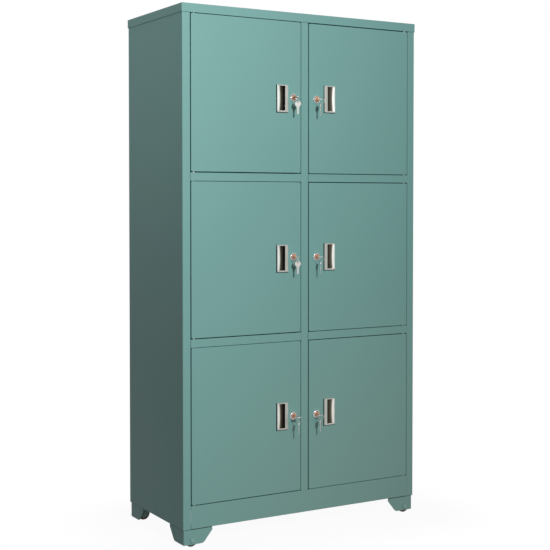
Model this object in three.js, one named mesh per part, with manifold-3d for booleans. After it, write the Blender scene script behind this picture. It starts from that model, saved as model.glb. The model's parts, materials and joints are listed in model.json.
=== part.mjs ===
// Six-door steel cabinet with a full-height centre post, cam locks and roller feet.
// Millimetres, +Z up. The origin is on the floor, in the middle of the space the cabinet fills.
// The front faces -Y. Left and right are as seen by someone who stands in front of it.

import * as THREE from 'three';
import { mergeVertices } from 'three/addons/utils/BufferGeometryUtils.js';
import Module from 'manifold-3d';

const wasm = await Module();
wasm.setup();

// Sheet metal and fits
const sheet = 1;
const bend = 2.4;
const bendSteps = 2;
const plateCorner = 1.2;
const trayCornerSteps = 1;
const seatGap = 0.3;
const doorGap = 2.5;
const overrun = 5;
const fuseOverlap = 0.2;
const halfSheet = sheet / 2;

// Casing
const bodyWidth = 1038;
const bodyDepth = 486;
const bodyHeight = 1914;
const capFlange = 32.5;
const capOverhang = 3;
const stileWidth = 32;
const stileReturn = 18;
const rearReturn = 16;
const bottomFlange = 22;
const postWidth = 32;
const strikeWidth = 12;
const strikeGap = 1.5;
const plinthHeight = 84.5;
const topRailReturn = 40;
const topRailTopReturn = 20;
const partitionFlange = 15;

// Shelves and floor
const shelfEdge = 30;
const shelfLip = 15;
const floorFlange = 20;
const floorLip = 12;

// Doors
const lowerDoorHeight = 576;
const doorDepth = 18;
const doorLip = 12;
const doorProud = 1.8;
const doorHangLeft = 0.6;
const doorHangRight = -0.6;
const hingeInset = 12;
const hingeSetback = 7;

// Hinge pins
const pinRadius = 3;
const pinReach = 8;
const pinTail = 5;
const shoulderRadius = 4.5;
const pinSides = 10;

// Recessed pulls
const pullWidth = 49;
const pullHeight = 104;
const pullPlate = 2.4;
const pullCorner = 3;
const pullCornerSteps = 2;
const slotWidth = 10;
const slotHeight = 93.5;
const slotRise = 1;
const scoopWidth = 25;
const scoopRim = 2.4;
const scoopSides = 36;
const cupDepth = 14;
const cupWall = 1.2;
const fingerReach = 8;
const pullFromEdgeLeft = 82;
const pullFromEdgeRight = 93.2;
const pullRiseUpperLeft = -5.9;
const pullRiseUpperRight = 1.1;
const pullRiseMiddleLeft = -3.2;
const pullRiseMiddleRight = 0.1;
const pullRiseLowerLeft = 4.7;
const pullRiseLowerRight = 5.3;

// Cam locks
const lockFromEdgeLeft = 34.5;
const lockFromEdgeRight = 33.2;
const lockRiseLeft = 0.6;
const lockRiseRight = -0.6;
const lockRiseUpper = -1.5;
const lockRiseMiddle = 1.6;
const lockRiseLower = 2;
const collarRadius = 15.3;
const collarProud = 6;
const collarChamfer = 2.6;
const barrelRadius = 11.5;
const barrelLength = 19;
const nutRadius = 15;
const nutThickness = 4;
const nutSides = 6;
const plugRadius = 9.8;
const plugProud = 9;
const plugEdge = 0.8;
const lockSides = 12;
const camReach = 46;
const camRadius = 7;
const camThickness = 2;
const camEndSteps = 6;
const camClear = 2;
const camScrewRadius = 5;
const camScrewLength = 4;

// Keys
const keyThickness = 2;
const bowRadius = 11.5;
const bowHoleRadius = 3.6;
const bowHoleFromEnd = 5;
const keyHome = 24;
const keyPartOut = 28;
const keyFarOut = 35.5;
const bowSides = 14;
const holeSides = 8;
const neckHalf = 4;
const shoulderHalf = 5.2;
const shoulderLength = 2;
const bladeHalf = 3.6;
const bladeLength = 27;
const cutDepth = 1.6;
const cutPitch = 4.5;
const cutCount = 4;
const ringRadius = 7.2;
const ringWire = 0.6;
const ringSides = 14;
const wireSides = 5;
const twistedRing = 55 * Math.PI / 180;

// Feet and wheels
const footInset = 3;
const footPlate = 2;
const footLength = 118;
const footEndDrop = 11.5;
const footSlantLength = 85;
const footSlantDrop = 52;
const footToeLength = 76;
const footHeight = 57;
const footBend = 5;
const footTopShare = 0.55;
const footShadowGap = 2.8;
const axleFromSide = 38.5;
const axleDrop = 42;
const axleRadius = 4;
const axleHeadRadius = 8.5;
const axleHeadHeight = 4;
const axleSides = 12;
const axleDomeSteps = 3;
const wheelRadius = 25;
const wheelWidth = 45;
const wheelCrown = 1.5;
const wheelDish = 3;
const wheelRim = 6;
const hubRadius = 9;
const hubGap = 2.5;
const wheelSides = 20;
const forkPlate = 2.5;
const forkWidth = 34;
const forkTopWidth = 50;

// Places worked out from the sizes above
const bodyBottom = wheelRadius + axleDrop;
const bodyTop = bodyBottom + bodyHeight;
const capBottom = bodyTop - capFlange;
const plinthTop = bodyBottom + plinthHeight;
const wallTop = bodyTop - sheet - seatGap;
const doorWidth = (bodyWidth - 2 * stileWidth - postWidth - 4 * doorGap) / 2;
const doorColumn = postWidth / 2 + doorGap + doorWidth / 2;
const hingeColumn = doorColumn + doorWidth / 2 - hingeInset;
const openHeight = bodyHeight - capFlange - plinthHeight - 2 * shelfEdge - 6 * doorGap;
const upperDoorHeight = (openHeight - lowerDoorHeight) / 2;
const strikeFront = doorDepth - doorProud + strikeGap;
const strikeBack = strikeFront + sheet;
const backOuter = bodyDepth - sheet - seatGap;
const backInner = backOuter - sheet;
const floorTop = plinthTop + seatGap + sheet;
const floorFront = strikeBack + seatGap;
const camFront = doorProud + strikeBack + camClear;
const pinBehindFront = hingeSetback - doorProud;
const holeBeyondBow = bowRadius - bowHoleFromEnd;
const frontReach = doorProud + keyFarOut + holeBeyondBow + bowRadius;
const middleY = (bodyDepth + capOverhang - frontReach) / 2;

// Finishes
const paint = { color: 0x6f9c94, roughness: 0.45, metalness: 0.1 };
const finishes = {
  paint,
  innerPaint: { ...paint, color: 0x64908a },
  satinNickel: { color: 0xc8c6be, roughness: 0.35, metalness: 0.9 },
  chrome: { color: 0xdadcdc, roughness: 0.15, metalness: 1 },
  brass: { color: 0xc9966b, roughness: 0.3, metalness: 0.9 },
  keySteel: { color: 0xc9cac8, roughness: 0.25, metalness: 1 },
  zincSteel: { color: 0x8f9694, roughness: 0.4, metalness: 0.8 },
  wheelBlack: { color: 0x35312d, roughness: 0.6, metalness: 0 },
};

// Turns that stand a drawn outline up, as x, y and depth go to these directions
const alongX = new THREE.Vector3(1, 0, 0);
const alongY = new THREE.Vector3(0, 1, 0);
const alongZ = new THREE.Vector3(0, 0, 1);
const sideOn = new THREE.Matrix4().makeBasis(alongY, alongZ, alongX);
const faceOn = new THREE.Matrix4().makeBasis(alongX, alongZ, alongY.clone().negate());

// Signed volume, which is negative where the faces point inwards
function signedVolume(positions, index) {
  let sum = 0;
  const [a, b, c] = [new THREE.Vector3(), new THREE.Vector3(), new THREE.Vector3()];
  for (let i = 0; i < index.length; i += 3) {
    a.fromArray(positions, index[i] * 3);
    b.fromArray(positions, index[i + 1] * 3);
    c.fromArray(positions, index[i + 2] * 3);
    sum += a.dot(b.cross(c));
  }
  return sum;
}

// A closed three.js geometry as a solid that can be joined and cut
function solid(geometry) {
  const bare = geometry.clone();
  bare.deleteAttribute('normal');
  bare.deleteAttribute('uv');
  const merged = mergeVertices(bare);
  const positions = merged.attributes.position.array;
  const index = Uint32Array.from(merged.index.array);
  if (signedVolume(positions, index) < 0) index.reverse();
  return new wasm.Manifold(new wasm.Mesh({
    numProp: 3,
    vertProperties: Float32Array.from(positions),
    triVerts: index,
  }));
}

function geometryOf(manifold) {
  const mesh = manifold.getMesh();
  const geometry = new THREE.BufferGeometry();
  geometry.setAttribute('position', new THREE.BufferAttribute(mesh.vertProperties, 3));
  geometry.setIndex(new THREE.BufferAttribute(mesh.triVerts, 1));
  const flat = geometry.toNonIndexed();
  flat.computeVertexNormals();
  return flat;
}

function join(...solids) {
  return solids.reduce((whole, next) => whole.add(next));
}

function cut(whole, ...tools) {
  return tools.reduce((left, tool) => left.subtract(tool), whole);
}

// A block between two corners
function block([x0, y0, z0], [x1, y1, z1]) {
  const box = new THREE.BoxGeometry(x1 - x0, y1 - y0, z1 - z0);
  box.translate((x0 + x1) / 2, (y0 + y1) / 2, (z0 + z1) / 2);
  return solid(box);
}

// A round bar along Y or Z between two places on its axis
function barAlongY(radius, x, z, from, to, sides) {
  const bar = new THREE.CylinderGeometry(radius, radius, to - from, sides);
  bar.translate(x, (from + to) / 2, z);
  return solid(bar);
}

function barAlongZ(radius, x, y, from, to, sides) {
  const bar = new THREE.CylinderGeometry(radius, radius, to - from, sides);
  bar.rotateX(Math.PI / 2);
  bar.translate(x, y, (from + to) / 2);
  return solid(bar);
}

function extruded(shape, length, curveSegments = 1) {
  return new THREE.ExtrudeGeometry(shape, { depth: length, bevelEnabled: false, curveSegments });
}

// The outline of a sheet folded along a path that runs in the middle of its thickness
function foldedOutline(path) {
  const points = path.map(([x, y]) => new THREE.Vector2(x, y));
  const radius = bend - halfSheet;
  const left = [];
  const right = [];
  points.forEach((point, i) => {
    const before = points[i - 1];
    const after = points[i + 1];
    const into = before ? point.clone().sub(before).normalize() : null;
    const out = after ? after.clone().sub(point).normalize() : null;
    if (!into || !out) {
      const along = into ?? out;
      const across = new THREE.Vector2(-along.y, along.x).multiplyScalar(halfSheet);
      left.push(point.clone().add(across));
      right.push(point.clone().sub(across));
      return;
    }
    const turn = Math.sign(into.cross(out));
    const angle = Math.acos(THREE.MathUtils.clamp(into.dot(out), -1, 1));
    const start = point.clone().addScaledVector(into, -radius * Math.tan(angle / 2));
    const toCentre = new THREE.Vector2(-into.y, into.x).multiplyScalar(turn);
    const centre = start.clone().addScaledVector(toCentre, radius);
    for (let step = 0; step <= bendSteps; step++) {
      const spoke = toCentre.clone().negate();
      spoke.rotateAround(new THREE.Vector2(), turn * angle * step / bendSteps);
      const inner = centre.clone().addScaledVector(spoke, radius - halfSheet);
      const outer = centre.clone().addScaledVector(spoke, radius + halfSheet);
      left.push(turn > 0 ? inner : outer);
      right.push(turn > 0 ? outer : inner);
    }
  });
  return new THREE.Shape([...left, ...right.reverse()]);
}

// A rectangle with rounded corners, as a list of points
function roundedRectangle(width, height, radius, steps) {
  const points = [];
  for (let corner = 0; corner < 4; corner++) {
    const signX = corner === 0 || corner === 3 ? 1 : -1;
    const signY = corner < 2 ? 1 : -1;
    for (let step = 0; step <= steps; step++) {
      const angle = (corner + step / steps) * Math.PI / 2;
      points.push(new THREE.Vector2(
        signX * (width / 2 - radius) + radius * Math.cos(angle),
        signY * (height / 2 - radius) + radius * Math.sin(angle),
      ));
    }
  }
  return points;
}

// A pressed tray of one sheet: a face, a wall bent from it on every side, and a lip turned in.
// The face is at the top, its outer side at z = height, and the lip lies on z = 0.
function tray(width, depth, height, lip) {
  const innerBend = bend - sheet;
  const rings = [];
  const ring = (inset, z) => {
    const radius = Math.max(bend + plateCorner - inset, plateCorner);
    const outline = roundedRectangle(width - 2 * inset, depth - 2 * inset, radius, trayCornerSteps);
    rings.push(outline.map((point) => new THREE.Vector3(point.x, point.y, z)));
  };
  for (let step = 0; step <= bendSteps; step++) {
    const angle = step / bendSteps * Math.PI / 2;
    ring(bend * (1 - Math.sin(angle)), height - bend * (1 - Math.cos(angle)));
  }
  ring(0, 0);
  if (lip > 0) {
    ring(lip, 0);
    ring(lip, sheet);
    ring(sheet, sheet);
  } else {
    ring(sheet, 0);
  }
  for (let step = bendSteps; step >= 0; step--) {
    const angle = step / bendSteps * Math.PI / 2;
    const inset = sheet + innerBend * (1 - Math.sin(angle));
    ring(inset, height - sheet - innerBend * (1 - Math.cos(angle)));
  }
  return solid(loft(rings));
}

// A closed skin through rings that have the same number of points, with a cap at each end
function loft(rings) {
  const count = rings[0].length;
  const index = [];
  for (let r = 0; r + 1 < rings.length; r++) {
    for (let i = 0; i < count; i++) {
      const a = r * count + i;
      const b = r * count + (i + 1) % count;
      index.push(a, a + count, b, b, a + count, b + count);
    }
  }
  const last = (rings.length - 1) * count;
  for (let i = 1; i + 1 < count; i++) {
    index.push(0, i, i + 1);
    index.push(last, last + i + 1, last + i);
  }
  const geometry = new THREE.BufferGeometry();
  const positions = rings.flat().flatMap((point) => point.toArray());
  geometry.setAttribute('position', new THREE.Float32BufferAttribute(positions, 3));
  geometry.setIndex(index);
  return geometry;
}

// Mirror image across x = 0
function mirrored(manifold) {
  return solid(geometryOf(manifold).scale(-1, 1, 1));
}

const cabinet = new THREE.Group();
cabinet.position.set(0, -middleY, 0);

// Puts a finished solid into the cabinet as a named mesh
function place(name, manifold, finish, parent = cabinet) {
  const mesh = new THREE.Mesh(geometryOf(manifold), new THREE.MeshStandardMaterial(finishes[finish]));
  mesh.name = name;
  parent.add(mesh);
  return mesh;
}

// Side panels, each one sheet: front stile with its return, side, and rear return
function sidePanel(hand) {
  const side = hand * (bodyWidth / 2 - halfSheet);
  const stile = hand * (bodyWidth / 2 - stileWidth + halfSheet);
  const rear = hand * (bodyWidth / 2 - rearReturn);
  const path = [
    [stile, stileReturn],
    [stile, halfSheet],
    [side, halfSheet],
    [side, bodyDepth - halfSheet],
    [rear, bodyDepth - halfSheet],
  ];
  const wall = extruded(foldedOutline(path), wallTop - bodyBottom);
  wall.translate(0, 0, bodyBottom);
  const flangeEdges = [side, hand * (bodyWidth / 2 - bottomFlange)].sort((a, b) => a - b);
  const flange = block(
    [flangeEdges[0], halfSheet, bodyBottom],
    [flangeEdges[1], backInner - bottomFlange - seatGap, bodyBottom + sheet],
  );
  return join(solid(wall), flange);
}

// Back panel, hung inside the rear returns, with its bottom edge turned forward
function backPanel() {
  const middle = backInner + halfSheet;
  const path = [
    [backInner - bottomFlange + sheet, bodyBottom + halfSheet],
    [middle, bodyBottom + halfSheet],
    [middle, wallTop],
  ];
  const length = bodyWidth - 2 * (bend + seatGap);
  const panel = extruded(foldedOutline(path), length);
  panel.applyMatrix4(sideOn);
  panel.translate(-length / 2, 0, 0);
  return solid(panel);
}

// Top panel, a tray without a lip that drops over the casing
function topPanel() {
  const width = bodyWidth + 2 * capOverhang;
  const depth = bodyDepth + 2 * capOverhang;
  return tray(width, depth, capFlange, 0).translate([0, bodyDepth / 2, capBottom]);
}

// A channel between the stiles, drawn as front wall with a return at the top and bottom
function frontChannel(bottom, top, bottomReturn, topReturn) {
  const path = [
    [bottomReturn, bottom + halfSheet],
    [halfSheet, bottom + halfSheet],
    [halfSheet, top - halfSheet],
    [topReturn, top - halfSheet],
  ];
  const length = bodyWidth - 2 * (stileWidth + seatGap);
  const channel = extruded(foldedOutline(path), length);
  channel.applyMatrix4(sideOn);
  channel.translate(-length / 2, 0, 0);
  return solid(channel);
}

// Holes on both hinge lines for the pins, through whatever lies between two heights
function pinHoles(from, to) {
  return [-1, 1].map((hand) => (
    barAlongZ(pinRadius + seatGap, hand * hingeColumn, pinBehindFront, from, to, pinSides)
  ));
}

function plinth() {
  const channel = frontChannel(bodyBottom, plinthTop, bottomFlange, floorFront - seatGap);
  return cut(channel, ...pinHoles(plinthTop - sheet - overrun, plinthTop + overrun));
}

function topRail() {
  const channel = frontChannel(capBottom, wallTop, topRailReturn, topRailTopReturn);
  return cut(channel, ...pinHoles(capBottom - overrun, capBottom + sheet + overrun));
}

// Floor of the two lowest compartments
function floorPanel() {
  const width = bodyWidth - 2 * (sheet + seatGap);
  const depth = backInner - seatGap - floorFront;
  const height = floorFlange + sheet;
  const panel = tray(width, depth, height, floorLip);
  return panel.translate([0, floorFront + depth / 2, floorTop - height]);
}

// Heights of the three tiers: the doors, and the shelf edges between them
const tiers = ['lower', 'middle', 'upper'];
const sides = [['left', -1], ['right', 1]];
const doorHeights = { lower: lowerDoorHeight, middle: upperDoorHeight, upper: upperDoorHeight };
const doorBottoms = { lower: plinthTop + doorGap };
doorBottoms.middle = doorBottoms.lower + lowerDoorHeight + shelfEdge + 2 * doorGap;
doorBottoms.upper = doorBottoms.middle + upperDoorHeight + shelfEdge + 2 * doorGap;
const shelfTops = {
  lower: doorBottoms.middle - doorGap,
  upper: doorBottoms.upper - doorGap,
};

// The doors of one side hang a little higher than those of the other
const doorHangs = { left: doorHangLeft, right: doorHangRight };

// A shelf whose front edge is the rail seen between two doors
function shelf(hand, top) {
  const outer = bodyWidth / 2 - sheet - seatGap;
  const inner = halfSheet + seatGap;
  const depth = backInner - seatGap;
  const bottom = top - shelfEdge;
  const plate = tray(outer - inner, depth, shelfEdge, shelfLip);
  const placed = plate.translate([hand * (outer + inner) / 2, depth / 2, bottom]);
  const notch = (from, to, back) => {
    const edges = [hand * from, hand * to].sort((a, b) => a - b);
    return block([edges[0], -overrun, bottom - overrun], [edges[1], back, top + overrun]);
  };
  const stileNotch = notch(bodyWidth / 2 - stileWidth - seatGap, outer + overrun, stileReturn + seatGap);
  const postNotch = notch(0, postWidth / 2 + seatGap, strikeBack + seatGap);
  return cut(placed, stileNotch, postNotch, ...pinHoles(bottom - overrun, top + overrun));
}

// Centre post, a hat section: the doors close on its two strikes and the cams turn behind them
function centrePost() {
  const side = postWidth / 2 - halfSheet;
  const strike = strikeFront + halfSheet;
  const path = [
    [-side - strikeWidth, strike],
    [-side, strike],
    [-side, halfSheet],
    [side, halfSheet],
    [side, strike],
    [side + strikeWidth, strike],
  ];
  const from = plinthTop + seatGap;
  const post = extruded(foldedOutline(path), capBottom - seatGap - from);
  post.translate(0, 0, from);
  const gaps = Object.values(shelfTops).flatMap((top) => [-1, 1].map((hand) => {
    const edges = [hand * postWidth / 2, hand * (side + strikeWidth + overrun)].sort((a, b) => a - b);
    return block(
      [edges[0], -overrun, top - shelfEdge - seatGap],
      [edges[1], strikeBack + overrun, top + seatGap],
    );
  }));
  return cut(solid(post), ...gaps);
}

// Upright partition behind the post, with its top and bottom edges turned to one side
function centrePartition() {
  const bottom = floorTop + seatGap + halfSheet;
  const top = wallTop - halfSheet;
  const path = [
    [partitionFlange, bottom],
    [0, bottom],
    [0, top],
    [partitionFlange, top],
  ];
  const front = sheet + seatGap;
  const panel = extruded(foldedOutline(path), backInner - seatGap - front);
  panel.applyMatrix4(faceOn);
  panel.translate(0, backInner - seatGap, 0);
  const railNotch = block(
    [-overrun, 0, capBottom - seatGap],
    [partitionFlange + overrun, topRailReturn + seatGap, bodyTop],
  );
  const postNotch = block(
    [halfSheet, 0, floorTop],
    [partitionFlange + overrun, strikeBack + seatGap, floorTop + bend + overrun],
  );
  return cut(solid(panel), railNotch, postNotch);
}

place('top_panel', topPanel(), 'paint');
place('top_rail', topRail(), 'paint');
place('left_side_panel', sidePanel(-1), 'paint');
place('right_side_panel', sidePanel(1), 'paint');
place('back_panel', backPanel(), 'paint');
place('floor_panel', floorPanel(), 'innerPaint');
place('plinth', plinth(), 'paint');
place('centre_post', centrePost(), 'paint');
place('centre_partition', centrePartition(), 'innerPaint');
for (const [tier, top] of Object.entries(shelfTops)) {
  place(`shelf_${tier}_left`, shelf(-1, top), 'paint');
  place(`shelf_${tier}_right`, shelf(1, top), 'paint');
}

// Hinge pins. Each has one shoulder, in the gap that it keeps open between door and frame.
function latheAlongZ(profile, sides) {
  const points = profile.map(([radius, z]) => new THREE.Vector2(radius, z));
  const turned = new THREE.LatheGeometry(points, sides);
  turned.rotateX(Math.PI / 2);
  return solid(turned);
}

function hingePin(bottom, shoulderBottom, shoulderTop, top) {
  return latheAlongZ([
    [0, bottom],
    [pinRadius, bottom],
    [pinRadius, shoulderBottom],
    [shoulderRadius, shoulderBottom],
    [shoulderRadius, shoulderTop],
    [pinRadius, shoulderTop],
    [pinRadius, top],
    [0, top],
  ], pinSides);
}

const intoDoor = doorGap + sheet + pinReach;
const pinSpans = {
  bottom: { seat: plinthTop, below: sheet + pinTail, above: intoDoor },
  lower: { seat: shelfTops.lower, below: shelfEdge + intoDoor, above: intoDoor },
  upper: { seat: shelfTops.upper, below: shelfEdge + intoDoor, above: intoDoor },
  top: { seat: capBottom - doorGap, below: intoDoor - doorGap, above: doorGap + sheet + pinTail },
};
for (const [name, span] of Object.entries(pinSpans)) {
  for (const [side, hand] of sides) {
    const underDoor = name === 'top' ? 0 : doorHangs[side];
    const overDoor = name === 'top' ? doorHangs[side] : 0;
    const pin = hingePin(
      span.seat - span.below,
      span.seat + overDoor + seatGap,
      span.seat + underDoor + doorGap - seatGap,
      span.seat + span.above,
    );
    const mesh = place(`hinge_pin_${name}_${side}`, pin, 'zincSteel');
    mesh.position.set(hand * hingeColumn, pinBehindFront, 0);
  }
}

// Door leaf: a tray with a cut-out for the pull, a round hole for the lock and two pin holes
function doorLeaf(hand, height, pullX, pullZ, lockX, lockZ) {
  const leaf = tray(doorWidth, height, doorDepth, doorLip);
  const upright = solid(geometryOf(leaf).rotateX(Math.PI / 2).translate(0, doorDepth, height / 2));
  const pullHole = block(
    [
      pullX + Math.min(hand * cupInnerSide, hand * cupOuterSide) - seatGap,
      -overrun,
      pullZ - slotHeight / 2 - cupWall - seatGap,
    ],
    [
      pullX + Math.max(hand * cupInnerSide, hand * cupOuterSide) + seatGap,
      sheet + overrun,
      pullZ + slotHeight / 2 + cupWall + seatGap,
    ],
  );
  const lockHole = barAlongY(barrelRadius + seatGap, lockX, lockZ, -overrun, sheet + overrun, lockSides);
  const pinX = hand * (doorWidth / 2 - hingeInset);
  const hole = (z) => (
    barAlongZ(pinRadius + seatGap, pinX, hingeSetback, z - sheet - overrun, z + sheet + overrun, pinSides)
  );
  return cut(upright, pullHole, lockHole, hole(0), hole(height));
}

// Recessed pull. It is drawn with the scoop on the +X side, where a right-hand door hinges.
// The scoop is a round hollow that starts at the rim and runs out level with the cup's bottom.
const slotInner = pullWidth / 2 - scoopWidth;
const slotOuter = slotInner - slotWidth;
const cupInnerSide = pullWidth / 2 - scoopRim;
const cupOuterSide = slotOuter - fingerReach - cupWall;
const scoopSpan = cupInnerSide - slotInner;
const scoopDrop = cupDepth + seatGap + pullPlate;
const scoopRadius = (scoopSpan * scoopSpan + scoopDrop * scoopDrop) / (2 * scoopDrop);

function scoopBar(wall, half) {
  const centreY = cupDepth - scoopRadius;
  const bar = barAlongZ(scoopRadius + wall, slotInner, centreY, -half, half, scoopSides);
  const from = wall > 0 ? -seatGap - fuseOverlap : -overrun;
  const lane = block([slotInner - fuseOverlap, from, -half], [cupInnerSide, cupDepth + wall, half]);
  return bar.intersect(lane);
}

function recessedPull(hand) {
  const face = new THREE.Shape(roundedRectangle(pullWidth, pullHeight, pullCorner, pullCornerSteps));
  const plateGeometry = extruded(face, pullPlate);
  plateGeometry.applyMatrix4(faceOn);
  plateGeometry.translate(0, -seatGap, -slotRise);
  const cupHalf = slotHeight / 2 + cupWall;
  const bowl = block(
    [cupOuterSide, -seatGap - fuseOverlap, -cupHalf],
    [slotInner + cupWall, cupDepth + cupWall, cupHalf],
  );
  const hollow = block(
    [cupOuterSide + cupWall, -seatGap, -slotHeight / 2],
    [slotInner, cupDepth, slotHeight / 2],
  );
  const slot = block([slotOuter, -overrun, -slotHeight / 2], [slotInner, cupDepth, slotHeight / 2]);
  const shell = join(solid(plateGeometry), bowl, scoopBar(cupWall, cupHalf));
  const pull = cut(shell, hollow, slot, scoopBar(0, slotHeight / 2));
  return hand > 0 ? pull : mirrored(pull);
}

// Lock case: collar outside the door, barrel through it and a hexagon nut behind the skin
function lockCase() {
  const profile = [
    [0, -collarProud],
    [collarRadius - collarChamfer, -collarProud],
    [collarRadius, -collarProud + collarChamfer],
    [collarRadius, -seatGap],
    [barrelRadius, -seatGap],
    [barrelRadius, barrelLength],
    [0, barrelLength],
  ].map(([radius, y]) => new THREE.Vector2(radius, y));
  const body = solid(new THREE.LatheGeometry(profile, lockSides));
  const nutFront = sheet + seatGap;
  const nut = barAlongY(nutRadius, 0, 0, nutFront, nutFront + nutThickness, nutSides);
  const bore = (plugRadius + seatGap) / Math.cos(Math.PI / lockSides);
  const drill = barAlongY(bore, 0, 0, -collarProud - overrun, barrelLength + overrun, lockSides);
  return cut(join(body, nut), drill);
}

// Outline of a key, pointing along -x from its bow's centre, with the ring hole at the far end
function keyOutline(length, cuts) {
  const start = Math.asin(neckHalf / bowRadius);
  const outline = [];
  for (let step = 0; step <= bowSides; step++) {
    const angle = start - Math.PI + 2 * (Math.PI - start) * step / bowSides;
    outline.push(new THREE.Vector2(bowRadius * Math.cos(angle), bowRadius * Math.sin(angle)));
  }
  const root = -bowRadius * Math.cos(start);
  const stop = root - shoulderLength;
  const blade = [
    [stop, -neckHalf],
    [stop, -shoulderHalf],
    [stop - shoulderLength, -shoulderHalf],
    [stop - shoulderLength, -bladeHalf],
  ];
  for (let i = 0; i < cuts; i++) {
    const near = stop - shoulderLength - cutPitch * (i + 1);
    blade.push([near, -bladeHalf]);
    blade.push([near - cutPitch / 2, -bladeHalf + cutDepth]);
  }
  blade.push([stop - length + bladeHalf, -bladeHalf]);
  blade.push([stop - length, 0]);
  blade.push([stop - length + bladeHalf, bladeHalf]);
  blade.push([stop - shoulderLength, bladeHalf]);
  blade.push([stop - shoulderLength, shoulderHalf]);
  blade.push([stop, shoulderHalf]);
  blade.push([stop, neckHalf]);
  outline.push(...blade.reverse().map(([x, y]) => new THREE.Vector2(x, y)));
  const shape = new THREE.Shape(outline);
  const hole = new THREE.Path();
  hole.absarc(holeBeyondBow, 0, bowHoleRadius, 0, 2 * Math.PI, true);
  shape.holes.push(new THREE.Path(hole.getSpacedPoints(holeSides).slice(0, holeSides)));
  return shape;
}

// Plug that turns in the case, with its cam, the cam's screw and the key that sits in it
function lockPlug(bowFromDoor) {
  const camBack = camFront + camThickness;
  const profile = [
    [0, -plugProud],
    [plugRadius - plugEdge, -plugProud],
    [plugRadius, -plugProud + plugEdge],
    [plugRadius, camFront + fuseOverlap],
    [camScrewRadius, camFront + fuseOverlap],
    [camScrewRadius, camBack + camScrewLength],
    [0, camBack + camScrewLength],
  ].map(([radius, y]) => new THREE.Vector2(radius, y));
  const core = solid(new THREE.LatheGeometry(profile, lockSides));
  const bar = new THREE.Shape();
  bar.absarc(0, 0, plugRadius, Math.PI, 2 * Math.PI, false);
  bar.absarc(0, camReach - camRadius, camRadius, 0, Math.PI, false);
  const camGeometry = extruded(bar, camThickness, camEndSteps);
  camGeometry.applyMatrix4(faceOn);
  camGeometry.translate(0, camBack, 0);
  const key = extruded(keyOutline(bladeLength, 0), keyThickness);
  key.translate(0, 0, -keyThickness / 2);
  key.applyMatrix4(sideOn);
  key.rotateX(Math.PI);
  key.translate(0, -bowFromDoor, 0);
  return join(core, solid(camGeometry), solid(key));
}

// Split ring with the spare key. Its origin is the ring hole of the key in the lock.
function spareKey(twist) {
  const wireAcross = ringWire / Math.cos(twist);
  const holeFlat = bowHoleRadius * Math.cos(Math.PI / holeSides);
  const room = holeFlat - wireAcross - seatGap;
  const sideways = keyThickness / 2 * Math.tan(twist);
  const drop = Math.sqrt(room * room - sideways * sideways);
  const ringBottom = -drop - 2 * ringRadius;
  const ring = new THREE.TorusGeometry(ringRadius, ringWire, wireSides, ringSides);
  ring.rotateX(Math.PI / 2);
  ring.translate(0, 0, -drop - ringRadius);
  const holeZ = ringBottom + ringWire - bowHoleRadius - fuseOverlap;
  const key = extruded(keyOutline(bladeLength, cutCount), keyThickness);
  key.translate(0, 0, -keyThickness / 2);
  key.applyMatrix4(sideOn);
  key.rotateX(Math.PI / 2);
  key.translate(0, 0, holeZ - holeBeyondBow);
  const whole = join(solid(ring), solid(key));
  return solid(geometryOf(whole).rotateZ(twist));
}

// The six doors, each with its pull, lock and keys. The pulls, locks and keys are not quite level
// from door to door, and two of the split rings have turned in the hole of the key.
const pullEdges = { left: pullFromEdgeLeft, right: pullFromEdgeRight };
const pullRises = {
  lower_left: pullRiseLowerLeft,
  lower_right: pullRiseLowerRight,
  middle_left: pullRiseMiddleLeft,
  middle_right: pullRiseMiddleRight,
  upper_left: pullRiseUpperLeft,
  upper_right: pullRiseUpperRight,
};
const lockEdges = { left: lockFromEdgeLeft, right: lockFromEdgeRight };
const lockSideRises = { left: lockRiseLeft, right: lockRiseRight };
const lockTierRises = { lower: lockRiseLower, middle: lockRiseMiddle, upper: lockRiseUpper };
const bowPlaces = {
  lower_left: keyFarOut,
  lower_right: keyHome,
  middle_left: keyPartOut,
  middle_right: keyHome,
  upper_left: keyPartOut,
  upper_right: keyHome,
};
const twistedRings = ['upper_left', 'middle_left'];

for (const tier of tiers) {
  for (const [side, hand] of sides) {
    const name = `${tier}_${side}`;
    const height = doorHeights[tier];
    const pullX = hand * (pullEdges[side] - doorWidth / 2);
    const pullZ = height / 2 + pullRises[name] + slotRise;
    const lockX = hand * (lockEdges[side] - doorWidth / 2);
    const lockZ = height / 2 + lockTierRises[tier] + lockSideRises[side];
    const bowFromDoor = bowPlaces[name];
    const twist = twistedRings.includes(name) ? twistedRing : 0;
    const door = new THREE.Group();
    door.position.set(hand * doorColumn, -doorProud, doorBottoms[tier] + doorHangs[side]);
    cabinet.add(door);
    place(`door_${name}`, doorLeaf(hand, height, pullX, pullZ, lockX, lockZ), 'paint', door);
    place(`pull_${name}`, recessedPull(hand), 'satinNickel', door).position.set(pullX, 0, pullZ);
    place(`lock_case_${name}`, lockCase(), 'chrome', door).position.set(lockX, 0, lockZ);
    place(`lock_plug_${name}`, lockPlug(bowFromDoor), 'brass', door).position.set(lockX, 0, lockZ);
    const keys = place(`spare_key_${name}`, spareKey(twist), 'keySteel', door);
    keys.position.set(lockX, -bowFromDoor - holeBeyondBow, lockZ);
  }
}

// Foot: a corner bracket of plate with slanting ends, a fork plate and the wheel's axle.
// It is drawn for the front right corner, with the corner of the casing at the origin.
// Its walls stop short of the casing, and its top plate fills that narrow dark gap from inside.
const footTop = -seatGap;
const footPlateBottom = -footShadowGap - footPlate / 2;
const forkFront = footInset + footPlate + 2 * hubGap + wheelWidth;

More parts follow.
